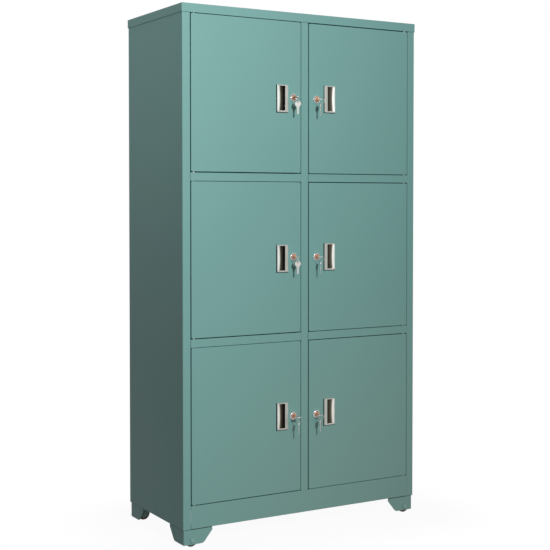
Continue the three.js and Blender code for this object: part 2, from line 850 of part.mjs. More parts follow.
function footBracket() {
  const near = footInset + footPlate / 2;
  const outer = [
    [-footInset - footLength, footInset],
    [-footInset - footBend, footInset],
    ...bendPoints(footBend),
    [-footInset, footInset + footLength],
  ];
  const inner = [
    [-footInset - footPlate, footInset + footLength],
    ...bendPoints(footBend - footPlate).reverse(),
    [-footInset - footLength, footInset + footPlate],
  ];
  const plan = new THREE.Shape([...outer, ...inner].map(([x, y]) => new THREE.Vector2(x, y)));
  const walls = extruded(plan, footHeight - footShadowGap);
  walls.translate(0, 0, -footHeight);
  const topSize = footLength * footTopShare;
  const cap = new THREE.Shape([
    new THREE.Vector2(-near, near),
    new THREE.Vector2(-near, near + footLength - footPlate),
    new THREE.Vector2(-near - topSize, near + topSize),
    new THREE.Vector2(-near - footLength + footPlate, near),
  ]);
  const capPlate = extruded(cap, footTop - footPlateBottom);
  capPlate.translate(0, 0, footPlateBottom);
  const slant = slantCutter();
  const frontCut = solid(slant.clone().rotateZ(Math.PI / 2));
  const sideCut = mirrored(solid(slant));
  return cut(join(solid(walls), solid(capPlate), forkAndAxle()), frontCut, sideCut);
}

// Points round the bend of the bracket, from the front wall to the side wall
function bendPoints(radius) {
  const centreX = -footInset - footBend;
  const centreY = footInset + footBend;
  const points = [];
  for (let step = 0; step <= bendSteps; step++) {
    const angle = step / bendSteps * Math.PI / 2;
    points.push([centreX + radius * Math.sin(angle), centreY - radius * Math.cos(angle)]);
  }
  return points;
}

// What is cut away below the slanting end of a wall that runs along +Y
function slantCutter() {
  const away = footInset + footLength + overrun;
  const below = -footHeight - overrun;
  const shape = new THREE.Shape([
    [away, -footEndDrop],
    [footInset + footLength, -footEndDrop],
    [footInset + footSlantLength, -footSlantDrop],
    [footInset + footToeLength, -footHeight],
    [footInset + footToeLength, below],
    [away, below],
  ].map(([y, z]) => new THREE.Vector2(y, z)));
  const cutter = extruded(shape, footPlate + 2 * overrun);
  cutter.applyMatrix4(sideOn);
  cutter.translate(footInset - overrun, 0, 0);
  return cutter;
}

function forkAndAxle() {
  const x = -axleFromSide;
  const top = footPlateBottom + fuseOverlap;
  const fork = new THREE.Shape();
  fork.moveTo(x + forkTopWidth / 2, top);
  fork.lineTo(x - forkTopWidth / 2, top);
  fork.lineTo(x - forkWidth / 2, -axleDrop);
  fork.lineTo(x - axleHeadRadius, -footHeight);
  fork.lineTo(x + axleHeadRadius, -footHeight);
  fork.lineTo(x + forkWidth / 2, -axleDrop);
  const plate = extruded(fork, forkPlate);
  plate.applyMatrix4(faceOn);
  plate.translate(0, forkFront + forkPlate, 0);
  const headBack = footInset + fuseOverlap;
  const nutBack = forkFront + forkPlate + axleHeadHeight;
  const dome = [];
  for (let step = 0; step < axleDomeSteps; step++) {
    const angle = step / axleDomeSteps * Math.PI / 2;
    dome.push([axleHeadRadius * Math.sin(angle), footInset - axleHeadHeight * Math.cos(angle)]);
  }
  const profile = [
    ...dome,
    [axleHeadRadius, headBack],
    [axleRadius, headBack],
    [axleRadius, forkFront + forkPlate - fuseOverlap],
    [axleHeadRadius, forkFront + forkPlate - fuseOverlap],
    [axleHeadRadius, nutBack],
    [0, nutBack],
  ].map(([radius, y]) => new THREE.Vector2(radius, y));
  const axle = new THREE.LatheGeometry(profile, axleSides);
  axle.translate(x, 0, -axleDrop);
  return join(solid(plate), solid(axle));
}

// Roller wheel with a crowned tread, dished sides and a hub that is bored for the axle.
// One of the flats of its tread lies on the floor.
function rollerWheel() {
  const half = wheelWidth / 2;
  const tread = wheelRadius / Math.cos(Math.PI / wheelSides);
  const bore = (axleRadius + seatGap) / Math.cos(Math.PI / wheelSides);
  const profile = [
    [bore, -half],
    [hubRadius, -half],
    [hubRadius, wheelDish - half],
    [tread - wheelRim, wheelDish - half],
    [tread - wheelRim, wheelCrown - half],
    [tread - wheelCrown, wheelCrown - half],
    [tread, 2 * wheelCrown - half],
    [tread, half - 2 * wheelCrown],
    [tread - wheelCrown, half - wheelCrown],
    [tread - wheelRim, half - wheelCrown],
    [tread - wheelRim, half - wheelDish],
    [hubRadius, half - wheelDish],
    [hubRadius, half],
    [bore, half],
    [bore, -half],
  ].map(([radius, y]) => new THREE.Vector2(radius, y));
  const wheel = new THREE.LatheGeometry(profile, wheelSides);
  wheel.rotateY(Math.PI / wheelSides);
  return solid(wheel);
}

const frontRightFoot = footBracket();
const wheelCentre = footInset + footPlate + hubGap + wheelWidth / 2;
for (const [end, turn] of [['front', 0], ['rear', Math.PI]]) {
  for (const [side, hand] of sides) {
    const corner = new THREE.Group();
    corner.position.set(hand * bodyWidth / 2, end === 'front' ? 0 : bodyDepth, bodyBottom);
    corner.rotation.z = turn;
    cabinet.add(corner);
    const outward = end === 'front' ? hand : -hand;
    place(`foot_${end}_${side}`, outward > 0 ? frontRightFoot : mirrored(frontRightFoot), 'paint', corner);
    const wheel = place(`wheel_${end}_${side}`, rollerWheel(), 'wheelBlack', corner);
    wheel.position.set(-outward * axleFromSide, wheelCentre, -axleDrop);
  }
}

export default cabinet;
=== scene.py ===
# %% [markdown]
# # A six-door steel cabinet
# This lesson dresses a finished construction model of a steel cabinet. Every sheet, hinge pin,
# lock and wheel is already there at its real size, as a fixed frame in metres. What is left is
# what the eye notices: powder coat with its fine orange peel, nickel pulls, copper-coloured lock
# plugs, and keys that hang in front of the doors.

# %% Load the frame
import json
import math

import bmesh
import bpy
from mathutils import Matrix, Vector


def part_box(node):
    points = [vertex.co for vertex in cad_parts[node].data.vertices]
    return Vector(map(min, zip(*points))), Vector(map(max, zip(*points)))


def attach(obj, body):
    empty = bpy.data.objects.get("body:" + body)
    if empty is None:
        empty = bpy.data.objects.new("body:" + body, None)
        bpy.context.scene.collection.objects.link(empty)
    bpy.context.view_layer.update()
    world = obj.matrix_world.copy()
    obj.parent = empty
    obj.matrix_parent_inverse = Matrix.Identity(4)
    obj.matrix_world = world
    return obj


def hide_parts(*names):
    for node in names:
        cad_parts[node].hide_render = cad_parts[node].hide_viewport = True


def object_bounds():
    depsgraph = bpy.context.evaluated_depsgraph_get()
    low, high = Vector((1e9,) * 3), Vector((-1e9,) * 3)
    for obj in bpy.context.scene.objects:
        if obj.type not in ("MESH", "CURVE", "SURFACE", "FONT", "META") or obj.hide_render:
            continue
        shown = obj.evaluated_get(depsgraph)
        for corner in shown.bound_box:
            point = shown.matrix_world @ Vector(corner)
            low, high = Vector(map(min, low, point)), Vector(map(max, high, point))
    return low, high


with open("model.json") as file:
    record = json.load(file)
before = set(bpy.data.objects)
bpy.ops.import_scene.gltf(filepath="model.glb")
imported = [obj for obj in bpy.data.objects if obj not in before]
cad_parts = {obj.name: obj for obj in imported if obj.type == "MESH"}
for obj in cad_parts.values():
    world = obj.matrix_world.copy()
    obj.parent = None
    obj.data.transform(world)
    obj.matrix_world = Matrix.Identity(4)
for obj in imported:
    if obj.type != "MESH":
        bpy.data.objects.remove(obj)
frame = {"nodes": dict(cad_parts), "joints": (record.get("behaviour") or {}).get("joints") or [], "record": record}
cad_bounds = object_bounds()
nodes = frame["nodes"]
millimetre = 0.001
print("nodes:", len(nodes), "box:", cad_bounds)

# %% [markdown]
# ## The camera
# The camera stands in front of the cabinet and to its left, at chest height, and looks almost
# level. A long lens keeps the uprights close to parallel. The picture was cropped a little low,
# and the lens shift repeats that without tilting the camera, which would bend the uprights.

# %% Camera
camera_to_left = 2.3706
camera_before_front = 3.8255
camera_height = 1.2666
camera_turn_right = 0.52943
camera_look_down = 0.02822
camera_lens = 76.8
camera_shift = -0.0742
camera_sensor = 36.0
camera_sees_to = 60.0


def make_camera():
    data = bpy.data.cameras.new("camera")
    data.lens = camera_lens
    data.sensor_width = camera_sensor
    data.shift_y = camera_shift
    data.clip_end = camera_sees_to
    camera = bpy.data.objects.new("camera", data)
    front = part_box("left_side_panel")[0].y
    camera.location = (-camera_to_left, front - camera_before_front, camera_height)
    camera.rotation_euler = (math.pi / 2 - camera_look_down, 0.0, -camera_turn_right)
    bpy.context.scene.collection.objects.link(camera)
    bpy.context.scene.camera = camera
    return camera


camera = make_camera()
print("lens:", camera.data.lens, "mm, shift:", camera.data.shift_y)

# %% [markdown]
# ## Light
# The cabinet stands in a white studio. A soft spot hangs straight in front of the doors, above head
# height. It is turned up and to the left, so the doors get the edge of its cone and fade towards
# the bottom right, as they do in the photo. Two more spots are far weaker: one lights the top of the
# side, and a warm one stands for what the lowest doors get back from the floor. The warm one is kept
# out of reflections, so the nickel down there stays as neutral as it is higher up.

# %% Lamps
lamps = {
    "key": {
        "place": Vector((-0.45, -5.6, 3.3)),
        "aim": Vector((-4.0, -0.2, 2.7)),
        "cone": math.radians(130.0),
        "radius": 0.36,
        "watts": 1610.0,
        "colour": (1.0, 1.0, 1.0),
    },
    "side": {
        "place": Vector((-4.0, -0.3, 2.6)),
        "aim": Vector((-0.5, 0.0, 2.4)),
        "cone": math.radians(52.0),
        "radius": 0.5,
        "watts": 130.0,
        "colour": (1.0, 1.0, 1.0),
    },
    "warm": {
        "place": Vector((0.9, -4.2, 0.25)),
        "aim": Vector((0.3, -0.2, -0.1)),
        "cone": math.radians(34.0),
        "radius": 0.4,
        "watts": 112.0,
        "colour": (1.0, 0.3, 0.15),
        "in_metal": False,
    },
}


def add_spot(name, place, aim, cone, radius, watts, colour, in_metal=True):
    data = bpy.data.lights.new(name, "SPOT")
    data.energy = watts
    data.color = colour
    data.shadow_soft_size = radius
    data.spot_size = cone
    data.spot_blend = 1.0
    lamp = bpy.data.objects.new(name, data)
    lamp.location = place
    lamp.rotation_euler = (aim - place).to_track_quat("-Z", "Y").to_euler()
    lamp.visible_glossy = in_metal
    bpy.context.scene.collection.objects.link(lamp)


for name, facts in lamps.items():
    add_spot(name, **facts)
bpy.context.scene.view_settings.view_transform = "Standard"
print("lamps:", ", ".join(lamps))

# %% [markdown]
# ## Shader maths as expressions
# A finish is a sum of small effects. Written as nodes one by one it is hard to read, so a small
# class wraps a socket, and `noise * 0.2 + 0.4` adds the Math nodes that it needs.

# %% A socket that can be added and multiplied


class Wire:
    """A socket of a node tree, or a step of a sum that is worked out by Math nodes."""

    def __init__(self, tree, socket):
        self.tree = tree
        self.socket = socket

    def math(self, operation, left, right):
        return self.tree.add("ShaderNodeMath", {"operation": operation}, {0: left, 1: right})

    def __add__(self, other):
        return self.math("ADD", self, other)

    def __sub__(self, other):
        return self.math("SUBTRACT", self, other)

    def __rsub__(self, other):
        return self.math("SUBTRACT", other, self)

    def __mul__(self, other):
        return self.math("MULTIPLY", self, other)

    def above(self, other):
        return self.math("GREATER_THAN", self, other)

    def maximum(self, other):
        return self.math("MAXIMUM", self, other)

    def clamped(self):
        """The value kept between 0 and 1."""
        return self.tree.add("ShaderNodeClamp", None, {0: self, 1: 0.0, 2: 1.0})


class Tree:
    """A material's or world's node tree, with one method that adds any node."""

    def __init__(self, owner):
        owner.use_nodes = True
        self.tree = owner.node_tree
        self.tree.nodes.clear()

    def add(self, kind, settings=None, values=None, output=0):
        node = self.tree.nodes.new(kind)
        for name, value in (settings or {}).items():
            if name == "stops":
                self.set_stops(node.color_ramp, value)
            else:
                setattr(node, name, value)
        for key, value in (values or {}).items():
            self.feed(node.inputs[key], value)
        return Wire(self, node.outputs[output]) if node.outputs else None

    def set_stops(self, ramp, stops):
        while len(ramp.elements) < len(stops):
            ramp.elements.new(1.0)
        for element, (place, colour) in zip(ramp.elements, stops):
            element.position = place
            element.color = (*colour, 1.0)

    def feed(self, socket, value):
        if isinstance(value, Wire):
            self.tree.links.new(value.socket, socket)
        elif isinstance(value, tuple) and len(value) == 3 and socket.type == "RGBA":
            socket.default_value = (*value, 1.0)
        else:
            socket.default_value = value

    def mix_colour(self, share, first, second):
        return self.add(
            "ShaderNodeMix", {"data_type": "RGBA"}, {0: share, 6: first, 7: second}, output=2
        )

    def noise(self, place, scale, detail=2.0, roughness=0.5):
        values = {"Vector": place, "Scale": scale, "Detail": detail, "Roughness": roughness}
        return self.add("ShaderNodeTexNoise", None, values)


print("shader helpers ready")

# %% [markdown]
# ## The white surround and the floor
# The world is white for the camera. As a light it is much dimmer, which keeps the contrast between
# the front and the side, and mirrors see something in between. The floor is white too and fades
# out round the feet, so that only a soft contact shadow is left of it.

# %% World
surround_for_camera = 1.0
surround_in_mirrors = 0.7
surround_as_light = 0.16


def make_surround():
    world = bpy.data.worlds.new("surround")
    bpy.context.scene.world = world
    tree = Tree(world)
    seen = tree.add("ShaderNodeLightPath", None, None, output="Is Camera Ray")
    mirrored = tree.add("ShaderNodeLightPath", None, None, output="Is Glossy Ray")
    strength = (
        seen * (surround_for_camera - surround_as_light)
        + mirrored * (surround_in_mirrors - surround_as_light)
        + surround_as_light
    )
    values = {"Color": (1.0, 1.0, 1.0), "Strength": strength}
    background = tree.add("ShaderNodeBackground", None, values)
    tree.add("ShaderNodeOutputWorld", None, {"Surface": background})


make_surround()
print("surround as light:", surround_as_light)

# %% Floor
floor_margin = 0.4
floor_shadow = 0.05
floor_white = (0.93, 0.93, 0.93)


def new_tree(name):
    material = bpy.data.materials.new(name)
    return material, Tree(material)


def make_floor():
    low, high = cad_bounds
    half = (Vector(high) - Vector(low)) / 2
    mesh = bpy.data.meshes.new("floor")
    plane = bmesh.new()
    bmesh.ops.create_grid(plane, x_segments=1, y_segments=1, size=1.0)
    reach = Vector((half.x + floor_margin, half.y + floor_margin, 1.0))
    bmesh.ops.scale(plane, verts=plane.verts, vec=reach)
    plane.to_mesh(mesh)
    plane.free()
    floor = bpy.data.objects.new("floor", mesh)
    bpy.context.scene.collection.objects.link(floor)
    material, tree = new_tree("floor_white")
    place = tree.add("ShaderNodeTexCoord", None, None, output="Object")
    apart = tree.add("ShaderNodeVectorMath", {"operation": "ABSOLUTE"}, {0: place})
    beyond = tree.add(
        "ShaderNodeVectorMath", {"operation": "SUBTRACT"}, {0: apart, 1: (half.x, half.y, 0.0)}
    )
    outside = tree.add(
        "ShaderNodeVectorMath", {"operation": "MAXIMUM"}, {0: beyond, 1: (0.0, 0.0, 0.0)}
    )
    distance = tree.add("ShaderNodeVectorMath", {"operation": "LENGTH"}, {0: outside}, output="Value")
    fade = tree.add(
        "ShaderNodeMapRange",
        {"interpolation_type": "SMOOTHERSTEP"},
        {0: distance, 1: 0.0, 2: floor_margin, 3: 1.0, 4: 0.0},
    )
    white = tree.add("ShaderNodeBsdfDiffuse", None, {"Color": floor_white})
    clear = tree.add("ShaderNodeBsdfTransparent", None, None)
    surface = tree.add("ShaderNodeMixShader", None, {0: fade * floor_shadow, 1: clear, 2: white})
    tree.add("ShaderNodeOutputMaterial", None, {"Surface": surface})
    mesh.materials.append(material)


make_floor()
print("floor reaches", floor_margin, "m past the cabinet")

# %% [markdown]
# ## Powder coat
# The paint is a sage green powder coat. Close up it has orange peel: soft bumps about a
# millimetre wide. Over a whole sheet the metal is never quite flat, so a second, very broad and
# very weak bump makes the reflections drift. A faint change of tone keeps the big faces alive.

# %% Paint
paint_gloss = 0.22
peel_scale = 900.0
peel_depth = 0.00002
drift_scale = 2.2
drift_depth = 0.004
drift_strength = 0.25
peel_strength = 0.5
cloud_share = 0.8
speckle_share = 0.2
cloud_roughness = 0.06
crevice_shade_black = (0.010, 0.014, 0.013)


def finish_material(name, tree, values):
    shader = tree.add("ShaderNodeBsdfPrincipled", None, values)
    tree.add("ShaderNodeOutputMaterial", None, {"Surface": shader})
    print("finish:", name)


def make_paint(name, light_tone, dark_tone, roughness, shade_starts=None, gloss=paint_gloss):
    """The coat of the sheets. On the feet it turns black above the height where the crevice under the casing
    starts: painted shade in that crevice.
    """
    material, tree = new_tree(name)
    place = tree.add("ShaderNodeTexCoord", None, None, output=3)
    cloud = tree.noise(place, drift_scale, 3.0)
    speckle = tree.noise(place, peel_scale, 1.0)
    share = cloud * cloud_share + speckle * speckle_share
    colour = tree.mix_colour(share, dark_tone, light_tone)
    # Painted shade: above the given height the coat is black, for the shade in the crevice under the casing.
    if shade_starts is not None:
        height = tree.add("ShaderNodeSeparateXYZ", None, {0: place}, output=2)
        colour = tree.mix_colour(height.above(shade_starts), colour, crevice_shade_black)
    bump = {"Strength": drift_strength, "Distance": drift_depth, "Height": cloud}
    drift = tree.add("ShaderNodeBump", None, bump)
    bump = {"Strength": peel_strength, "Distance": peel_depth, "Height": speckle, "Normal": drift}
    peel = tree.add("ShaderNodeBump", None, bump)
    values = {
        "Base Color": colour,
        "Roughness": cloud * cloud_roughness + roughness,
        "Specular IOR Level": gloss,
        "Normal": peel,
    }
    finish_material(name, tree, values)
    return material


casing_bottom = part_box("left_side_panel")[0].z
foot_gap = 0.0026
paint = make_paint("paint_sage", (0.18, 0.368, 0.345), (0.168, 0.348, 0.325), 0.42)
# The feet's coat is painted black in the crevice under the casing, as painted shade.
foot_paint = make_paint(
    "paint_sage_feet", (0.18, 0.368, 0.345), (0.168, 0.348, 0.325), 0.42, casing_bottom - foot_gap
)
inner_paint = make_paint("paint_sage_inside", (0.150, 0.310, 0.280), (0.135, 0.285, 0.255), 0.5)

# %% Metals
metal_lines_scale = 600.0
metal_patches_scale = 60.0
metal_lines_depth = 0.0002
metal_lines_roughness = 0.12


def make_metal(name, colour, worn_colour, roughness, grain):
    material, tree = new_tree(name)
    place = tree.add("ShaderNodeTexCoord", None, None, output=3)
    stretch = tree.add(
        "ShaderNodeMapping", {"vector_type": "POINT"}, {"Vector": place, "Scale": grain}
    )
    lines = tree.noise(stretch, metal_lines_scale, 3.0)
    patches = tree.noise(place, metal_patches_scale, 2.0)
    tone = tree.mix_colour(patches, worn_colour, colour)
    values = {"Strength": 0.12, "Distance": metal_lines_depth, "Height": lines}
    bump = tree.add("ShaderNodeBump", None, values)
    values = {
        "Base Color": tone,
        "Metallic": 1.0,
        "Roughness": lines * metal_lines_roughness + roughness,
        "Normal": bump,
    }
    finish_material(name, tree, values)
    return material


satin_nickel = make_metal("satin_nickel", (0.80, 0.78, 0.72), (0.70, 0.68, 0.62), 0.25, (1, 1, 0.05))
chrome = make_metal("chrome", (0.76, 0.76, 0.77), (0.62, 0.62, 0.63), 0.10, (1, 1, 1))
lock_brass = make_metal("lock_brass", (0.66, 0.38, 0.24), (0.48, 0.26, 0.16), 0.34, (1, 1, 1))
key_steel = make_metal("key_steel", (0.70, 0.68, 0.65), (0.56, 0.54, 0.51), 0.36, (1, 1, 1))
zinc_steel = make_metal("zinc_steel", (0.52, 0.54, 0.54), (0.42, 0.44, 0.44), 0.35, (1, 1, 1))

# %% Wheel plastic
overspray_scale = 55.0
overspray_edge = 0.12


def make_wheel_plastic(name, spray_from, bare, sprayed):
    """Dark plastic with patches of overspray. A lower start for the spray covers more of it."""
    material, tree = new_tree(name)
    place = tree.add("ShaderNodeTexCoord", None, None, output=3)
    patches = tree.noise(place, overspray_scale, 4.0, 0.6)
    stops = [(spray_from, (0, 0, 0)), (spray_from + overspray_edge, (1, 1, 1))]
    spray = tree.add("ShaderNodeValToRGB", {"stops": stops}, {"Fac": patches})
    colour = tree.mix_colour(spray, bare, sprayed)
    values = {"Base Color": colour, "Roughness": patches * 0.3 + 0.4}
    finish_material(name, tree, values)
    return material


wheel_plastic = make_wheel_plastic("wheel_plastic", 0.55, (0.008, 0.008, 0.008), (0.16, 0.075, 0.045))
sprayed_plastic = make_wheel_plastic(
    "wheel_plastic_sprayed", 0.40, (0.030, 0.040, 0.038), (0.120, 0.210, 0.195)
)

# %% [markdown]
# ## Finishes on the frame
# Each node of the frame takes the finish that its slot names. A node's mesh is not touched: only
# its material slot changes.

# %% Finishes for the nodes
finish_of_slot = {
    "paint": paint,
    "inner_paint": inner_paint,
    "satin_nickel": satin_nickel,
    "chrome": chrome,
    "lock_brass": lock_brass,
    "key_steel": key_steel,
    "zinc_steel": zinc_steel,
    "wheel": wheel_plastic,
}
for sub_part in frame["record"]["subparts"]:
    mesh = nodes[sub_part["node"]].data
    mesh.materials.clear()
    mesh.materials.append(finish_of_slot[sub_part["material_slot"]])

# %% [markdown]
# ## Rounded sheet
# The frame's sheets have bends drawn with a few flat strips. A copy of a sheet, merged and shaded
# smooth across its bends, catches the light along every edge, as folded steel does. Cut edges
# get a tiny bevel. Weighted normals keep the big faces flat. The copy stands for the node, which
# stays as it is.

# %% A smooth copy of a node
bend_angle = math.radians(50.0)
weld_distance = 0.00002
flat_angle = math.radians(0.5)
cut_edge_round = 0.00025
body_nodes = frame["record"]["behaviour"]["bodies"]


def new_piece(name, bm, material, body, slot, *replaced):
    mesh = bpy.data.meshes.new(name)
    bm.to_mesh(mesh)
    bm.free()
    mesh.materials.append(material)
    piece = bpy.data.objects.new(name, mesh)
    bpy.context.scene.collection.objects.link(piece)
    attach(piece, body)
    if replaced:
        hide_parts(*replaced)
    return piece


def copy_of_node(node):
    bm = bmesh.new()
    bm.from_mesh(nodes[node].data)
    bmesh.ops.remove_doubles(bm, verts=bm.verts, dist=weld_distance)
    bmesh.ops.dissolve_limit(bm, angle_limit=flat_angle, verts=bm.verts, edges=bm.edges)
    return bm


def sharp_edges(bm, angle):
    return [edge for edge in bm.edges if edge.is_manifold and edge.calc_face_angle() > angle]


def round_edges(bm, edges, width, segments=2):
    bmesh.ops.bevel(
        bm,
        geom=edges,
        offset=width,
        offset_type="OFFSET",
        affect="EDGES",
        segments=segments,
        profile=0.5,
        material=-1,
        clamp_overlap=True,
    )


def shade_across_bends(bm, angle):
    for face in bm.faces:
        face.smooth = True
    for edge in bm.edges:
        edge.smooth = edge.is_manifold and edge.calc_face_angle() < angle


def keep_faces_flat(piece):
    weighted = piece.modifiers.new("flat faces", "WEIGHTED_NORMAL")
    weighted.keep_sharp = True
    weighted.weight = 100


def body_of_node(node):
    return next(body for body, members in body_nodes.items() if node in members)


def rounded_sheet(node, material, slot):
    bm = copy_of_node(node)
    round_edges(bm, sharp_edges(bm, bend_angle), cut_edge_round)
    shade_across_bends(bm, bend_angle)
    piece = new_piece(f"{node}_skin", bm, material, body_of_node(node), slot, node)
    keep_faces_flat(piece)


sheet_nodes = [
    "top_panel",
    "left_side_panel",
    "right_side_panel",
    "back_panel",
    "plinth",
    "centre_post",
    "shelf_lower_left",
    "shelf_lower_right",
    "shelf_upper_left",
    "shelf_upper_right",
    *[node for node in nodes if node.startswith(("door_", "foot_"))],
]
for node in sheet_nodes:
    rounded_sheet(node, foot_paint if node.startswith("foot_") else paint, "paint")
print("rounded sheets:", len(sheet_nodes))

# %% [markdown]
# ## Seams beside the plinth
# The plinth stands between the two front uprights with a hair of room at each end, and daylight from below would
# shine through. On the real cabinet paint fills such a seam, so each one gets a thin bead, set back a little from
# the face. The bead is coloured far darker than the coat, as painted shade in the seam.

# %% Seams
bead_overlap = 0.00015
bead_set_back = 0.0004
bead_depth = 0.0006
bead_round = 0.0001
# The bead's coat is far darker than the sheets: painted shade in the seam.
seam_shade_paint = make_paint("painted_shade_in_seam", (0.070, 0.145, 0.135), (0.055, 0.115, 0.105), 0.6)


def make_bead(side):
    """Fills the gap between the end of the plinth and the upright on one side."""
    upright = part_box(f"{side}_side_panel")
    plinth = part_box("plinth")
    near, far = (upright[1].x, plinth[0].x) if side == "left" else (plinth[1].x, upright[0].x)
    low = Vector((near - bead_overlap, plinth[0].y + bead_set_back, plinth[0].z + bead_set_back))
    high = Vector((far + bead_overlap, low.y + bead_depth, plinth[1].z - bead_set_back))
    place = Matrix.Translation((low + high) / 2) @ Matrix.Diagonal((high - low).to_4d())
    bm = bmesh.new()
    bmesh.ops.create_cube(bm, size=1.0, matrix=place)
    round_edges(bm, bm.edges[:], bead_round)
    shade_across_bends(bm, bend_angle)
    new_piece(f"plinth_seam_{side}", bm, seam_shade_paint, body_of_node("plinth"), "paint")


for side in ("left", "right"):
    make_bead(side)
print("seams filled: 2")

# %% [markdown]
# ## Recessed pulls
# The pull is a pressed nickel plate. Its rim is rounded over, one side rolls softly down into the slot for the
# fingertips, and the far side stands over the slot as a lip. Nothing lights the cup behind it, so its shade is
# painted into the finish by depth: bright on the roll, olive a millimetre or two down, and black in the cup, where
# the metal also turns less metallic and rougher. The roll itself takes a brighter, less metallic nickel as a
# painted sheen. The left and lower edges of the rim carry a painted reflection of the green door.

# %% Pull finish
door_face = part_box("door_upper_left")[0].y
plate_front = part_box("pull_upper_left")[0].y
roll_depth = 0.0155
depth_shade_tones = [
    (0.0, (0.80, 0.83, 0.79)),
    (0.075, (0.80, 0.83, 0.79)),
    (0.14, (0.20, 0.18, 0.125)),
    (0.32, (0.075, 0.065, 0.044)),
    (0.55, (0.026, 0.023, 0.017)),
    (0.75, (0.012, 0.011, 0.008)),
]
painted_edge_reflection = (0.018, 0.045, 0.042)
edge_starts = 0.35
edge_full = 0.6
shade_onset = 0.6
shade_rate = 9.0
brushing_scale = 900.0
wear_scale = 35.0
wear_share = 0.25
cup_metallic = 0.25
cup_roughness = 0.2


def make_pull_finish(name, face_tone, metallic, roughness):
    material, tree = new_tree(name)
    place = tree.add("ShaderNodeTexCoord", None, None, output=3)
    normal = tree.add("ShaderNodeTexCoord", None, None, output=1)
    depth = tree.add("ShaderNodeSeparateXYZ", None, {0: place}, output=1)
    # Painted shade of the cup: behind the front of the plate the colour darkens with depth, through olive to
    # black.
    share = (depth - plate_front) * (1.0 / roll_depth)
    tone = tree.add("ShaderNodeValToRGB", {"stops": depth_shade_tones}, {"Fac": share})
    stretch = tree.add("ShaderNodeMapping", None, {"Vector": place, "Scale": (1.0, 1.0, 0.04)})
    lines = tree.noise(stretch, brushing_scale, 3.0)
    patches = tree.noise(place, wear_scale, 2.0)
    nickel = tree.mix_colour(patches * wear_share + (1.0 - wear_share), tone, face_tone)
    near_front = 1.0 - (share * shade_rate - shade_onset).clamped()
    depth_shaded = tree.mix_colour(near_front, tone, nickel)
    # Painted reflection: rim edges that face left or down take the dark green of the door they would mirror.
    across = tree.add("ShaderNodeSeparateXYZ", None, {0: normal}, output=0)
    up = tree.add("ShaderNodeSeparateXYZ", None, {0: normal}, output=2)
    turned_away = ((0.0 - across).maximum(0.0 - up) - edge_starts) * (1.0 / (edge_full - edge_starts))
    edge = turned_away.clamped() * near_front
    bump = tree.add(
        "ShaderNodeBump", None, {"Strength": 0.1, "Distance": 0.0001, "Height": lines}
    )
    values = {
        "Base Color": tree.mix_colour(edge, depth_shaded, painted_edge_reflection),
        "Metallic": near_front * (metallic - cup_metallic) + cup_metallic,
        "Roughness": lines * 0.1 + roughness + (1.0 - near_front) * cup_roughness,
        "Normal": bump,
    }
    finish_material(name, tree, values)
    return material


pull_nickel = make_pull_finish("pull_nickel", (0.52, 0.53, 0.48), 1.0, 0.27)
# The roll's nickel is a brighter, less metallic copy of the pull's: a painted sheen, bright under any lamp.
painted_sheen_nickel = make_pull_finish("painted_sheen_nickel", (0.79, 0.82, 0.78), 0.42, 0.6)
print("door face at y =", round(door_face, 4), "plate front at y =", round(plate_front, 4))

# %% Plates with a rounded rim
rim_round = 0.0012
opening_round = 0.0004
outer_reach = 0.0035


def on_outer_rim(edge, low, high):
    """True for the edges that run round the front of the plate, near its outline."""
    for vert in edge.verts:
        beside = min(vert.co.x - low.x, high.x - vert.co.x)
        above = min(vert.co.z - low.z, high.z - vert.co.z)
        behind_front = vert.co.y > low.y + weld_distance
        off_outline = min(beside, above) > weld_distance and beside + above > outer_reach
        if behind_front or off_outline:
            return False
    return True


def make_pull_plate(node):
    low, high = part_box(node)
    bm = copy_of_node(node)
    corners = sharp_edges(bm, bend_angle)
    rim = [edge for edge in corners if on_outer_rim(edge, low, high)]
    round_edges(bm, rim, rim_round, 4)
    opening = [
        edge
        for edge in sharp_edges(bm, bend_angle)
        if all(vert.co.y < low.y + weld_distance for vert in edge.verts)
    ]
    round_edges(bm, opening, opening_round, 2)
    shade_across_bends(bm, bend_angle)
    plate = new_piece(f"{node}_skin", bm, pull_nickel, body_of_node(node), "satin_nickel", node)
    keep_faces_flat(plate)


pull_nodes = [name for name in nodes if name.startswith("pull_")]
for node in pull_nodes:
    make_pull_plate(node)
print("pull plates:", len(pull_nodes))

# %% [markdown]
# ## Turned parts
# Lock collars, plugs and wheels are turned, so each section is drawn once and spun round its
# axis. The joints of the frame say where the axes are, so nothing is measured twice.

# %% Spin a section round an axis
spin_steps = 48
joints = {joint["name"]: joint for joint in frame["joints"]}
forward = Vector((0.0, -1.0, 0.0))
rightward = Vector((1.0, 0.0, 0.0))
upward = Vector((0.0, 0.0, 1.0))


def turned(bm, profile, centre, axis=forward, start=upward, steps=spin_steps):
    """Spins a section, given as distance from the axis and place along it in millimetres."""
    points = [centre + (start * radius + axis * along) * millimetre for radius, along in profile]
    verts = [bm.verts.new(point) for point in points]
    edges = [bm.edges.new(pair) for pair in zip(verts, verts[1:])]
    bmesh.ops.spin(
        bm,
        geom=verts + edges,
        cent=centre,
        axis=axis,
        angle=2 * math.pi,
        steps=steps,
        use_merge=True,
    )
    bmesh.ops.remove_doubles(bm, verts=bm.verts, dist=weld_distance)


def arc(centre, radius, start, end, steps):
    """Points of an arc in the plane of a section. Angles are in degrees."""
    angles = [math.radians(start + (end - start) * step / steps) for step in range(steps + 1)]
    return [(centre[0] + radius * math.cos(a), centre[1] + radius * math.sin(a)) for a in angles]


def finished(name, bm, material, body, slot, *replaced, angle=bend_angle):
    bmesh.ops.recalc_face_normals(bm, faces=bm.faces)
    shade_across_bends(bm, angle)
    return new_piece(name, bm, material, body, slot, *replaced)


